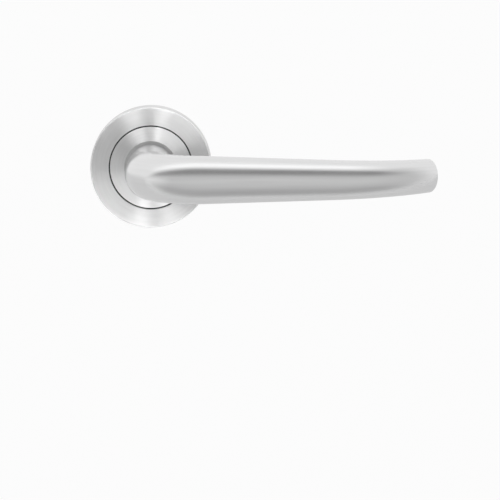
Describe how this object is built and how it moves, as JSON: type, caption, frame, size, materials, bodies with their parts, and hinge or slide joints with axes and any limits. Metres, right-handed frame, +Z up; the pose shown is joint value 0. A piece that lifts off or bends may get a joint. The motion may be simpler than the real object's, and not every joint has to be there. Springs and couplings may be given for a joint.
{
  "type": "door lever handle",
  "caption": "Satin lever door handle on a round sprung rose, with a square spindle, through bolts and a bar that curves back to the door.",
  "frame": {"origin": "on the spindle's axis, in the plane of the door's face (the base plate's back face)", "axes": "+Z up, +X along the lever at rest, -Y out of the door towards the hand, +Y into the door"},
  "size_m": [0.1474, 0.1367, 0.052],
  "materials": {
    "satin_stainless": "satin, fine lengthwise grain",
    "rose_stainless": "circular brushed",
    "seam_black": "matt",
    "bush_nylon": "matt",
    "cast_zinc": "die-cast zinc, as cast",
    "spring_steel": "drawn wire",
    "zinc_plated_steel": "bright zinc plated",
    "spindle_steel": "cold drawn, zinc plated",
    "black_oxide_steel": "black oxide",
    "pressed_steel": "pressed sheet, zinc plated"
  },
  "bodies": {
    "rose": {"rose_cover": "rose_stainless", "rose_inner_disc": "rose_stainless", "seam_ring": "seam_black", "neck_bush": "bush_nylon", "cover_snap_ring": "spring_steel", "base_plate": "cast_zinc", "cassette_plate": "pressed_steel", "plate_screws": "zinc_plated_steel", "fixing_bolts": "zinc_plated_steel", "bolt_washers": "zinc_plated_steel", "stop_pins": "spindle_steel", "slide_washer": "bush_nylon", "return_spring": "spring_steel"},
    "lever": {"lever_handle": "satin_stainless", "spindle": "spindle_steel", "spindle_grub_screw": "black_oxide_steel", "drive_disc": "pressed_steel", "thrust_washer": "zinc_plated_steel", "disc_spring": "spring_steel", "circlip": "black_oxide_steel"}
  },
  "joints": [
    {"name": "lever_turn", "type": "hinge", "parent": "rose", "child": "lever", "pos_m": [0, 0, 0], "axis": [0, 1, 0], "range_deg": [0, 45], "stiffness_Nm_per_rad": 1.2, "springref_deg": -28.65, "deforming": ["return_spring"]}
  ]
}
